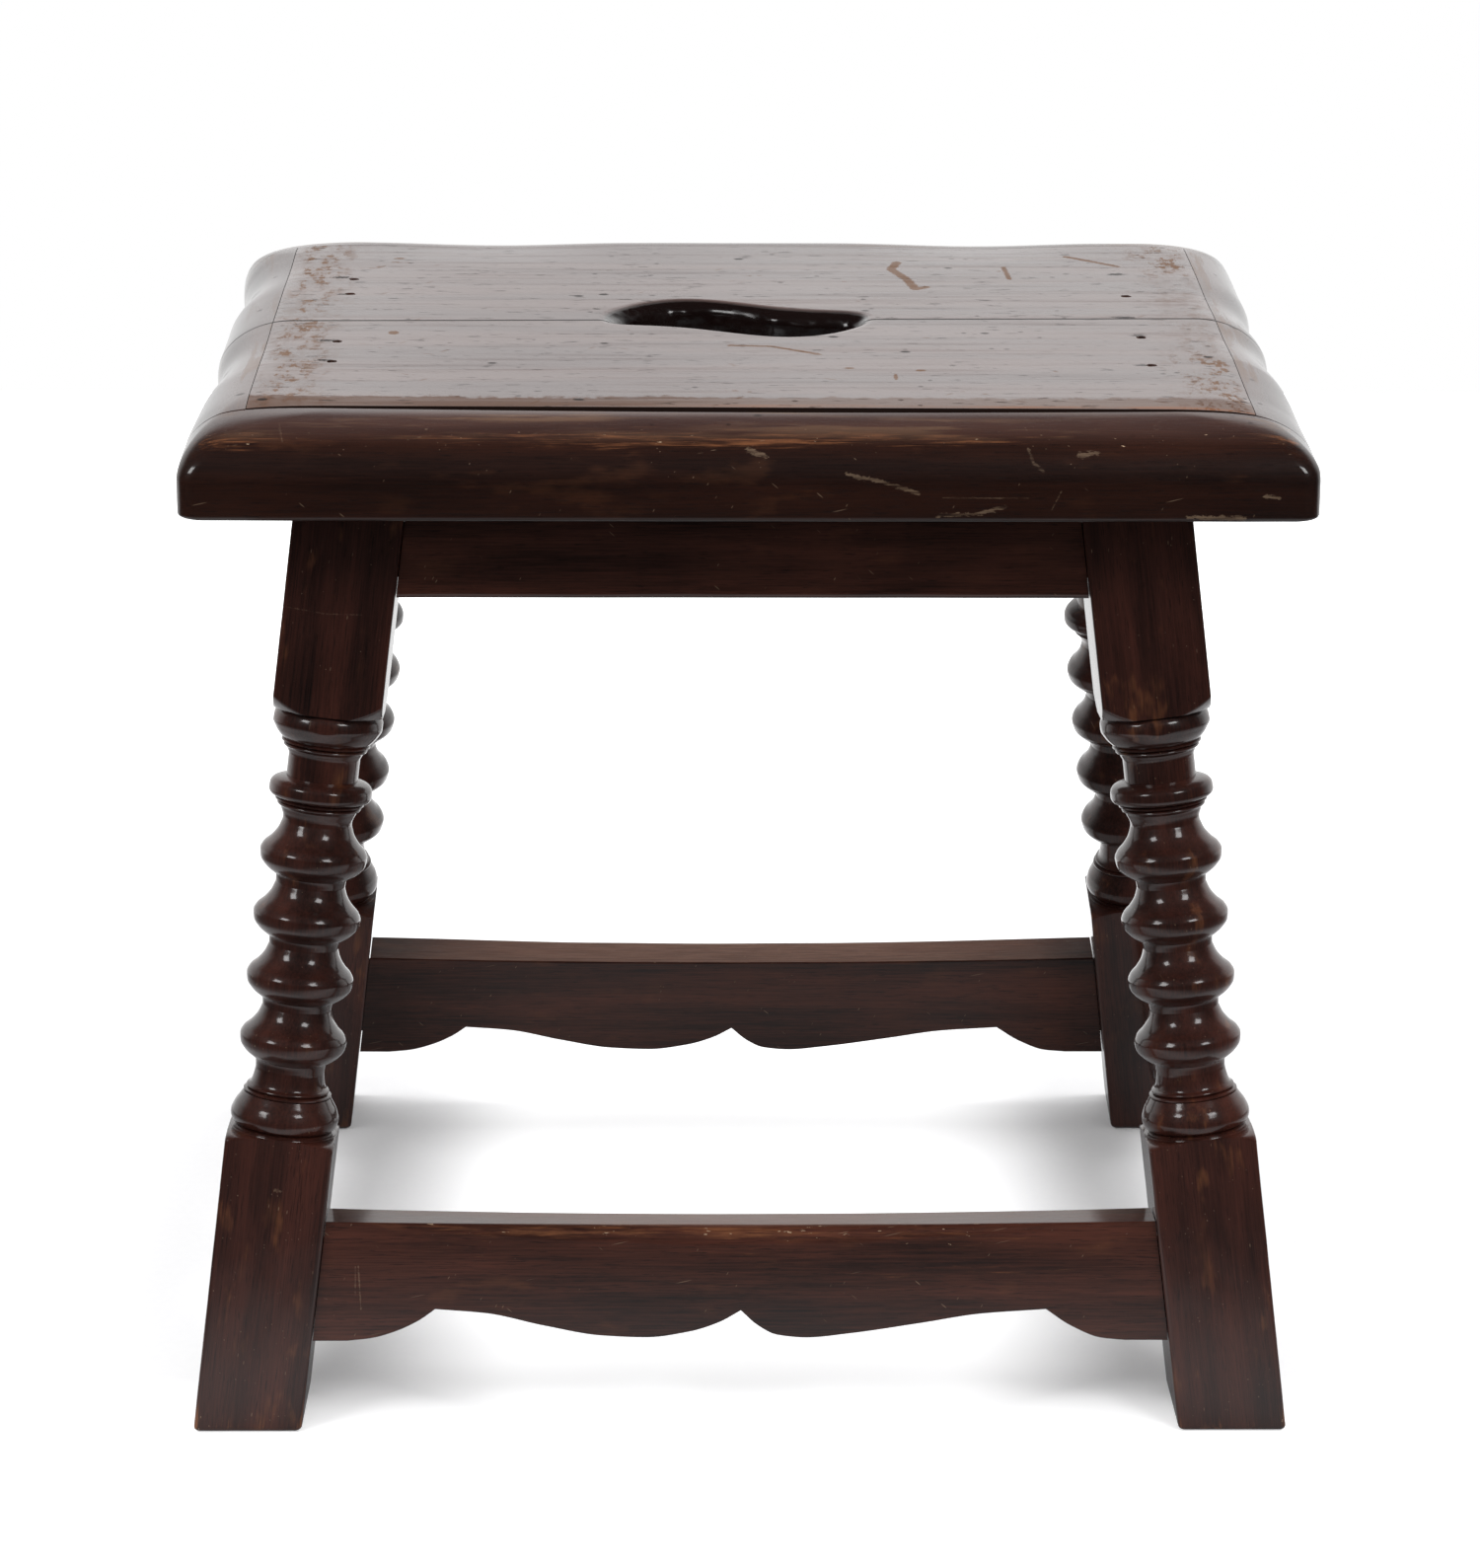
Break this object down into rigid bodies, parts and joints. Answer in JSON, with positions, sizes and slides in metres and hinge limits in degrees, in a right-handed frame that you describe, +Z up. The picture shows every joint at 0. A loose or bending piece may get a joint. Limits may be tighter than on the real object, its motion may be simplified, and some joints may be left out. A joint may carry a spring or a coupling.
{
  "type": "stool",
  "caption": "Low joined stool for sitting: splayed ring-turned legs, aprons, cusped stretchers and a thick round-edged wooden seat with a curved hand-hold slot.",
  "frame": {"origin": "on the floor, under the middle of the four feet, which is the middle of the whole stool in plan", "axes": "+X to the stool's right seen from the front and along the seat's length, +Y from front to rear, +Z up"},
  "size_m": [0.4578, 0.3756, 0.432],
  "materials": {
    "stained_turned_wood": "dark stained hardwood, waxed and polished",
    "stained_rail_wood": "dark stained hardwood, waxed",
    "stained_seat_edge": "dark stained hardwood, waxed, rubbed lighter along its upper edge",
    "waxed_seat_board": "dark stained hardwood, waxed, worn pale near its borders",
    "tongue_wood": "bare wood",
    "old_iron": "dark, rusted nail"
  },
  "bodies": {
    "root": {"front_left_leg": "stained_turned_wood", "front_right_leg": "stained_turned_wood", "rear_left_leg": "stained_turned_wood", "rear_right_leg": "stained_turned_wood", "front_apron": "stained_rail_wood", "front_stretcher": "stained_rail_wood", "rear_apron": "stained_rail_wood", "rear_stretcher": "stained_rail_wood", "left_apron": "stained_rail_wood", "left_stretcher": "stained_rail_wood", "right_apron": "stained_rail_wood", "right_stretcher": "stained_rail_wood", "front_nosing": "stained_seat_edge", "front_seat_board": "waxed_seat_board", "rear_nosing": "stained_seat_edge", "rear_seat_board": "waxed_seat_board", "left_front_end_piece": "stained_seat_edge", "left_rear_end_piece": "stained_seat_edge", "right_front_end_piece": "stained_seat_edge", "right_rear_end_piece": "stained_seat_edge", "front_nosing_tongue": "tongue_wood", "rear_nosing_tongue": "tongue_wood", "left_seam_tongue": "tongue_wood", "right_seam_tongue": "tongue_wood", "left_front_end_tongue": "tongue_wood", "left_rear_end_tongue": "tongue_wood", "right_front_end_tongue": "tongue_wood", "right_rear_end_tongue": "tongue_wood", "left_seat_nail_1": "old_iron", "left_seat_nail_2": "old_iron", "left_seat_nail_3": "old_iron", "left_seat_nail_4": "old_iron", "right_seat_nail_1": "old_iron", "right_seat_nail_2": "old_iron", "right_seat_nail_3": "old_iron"}
  },
  "joints": []
}
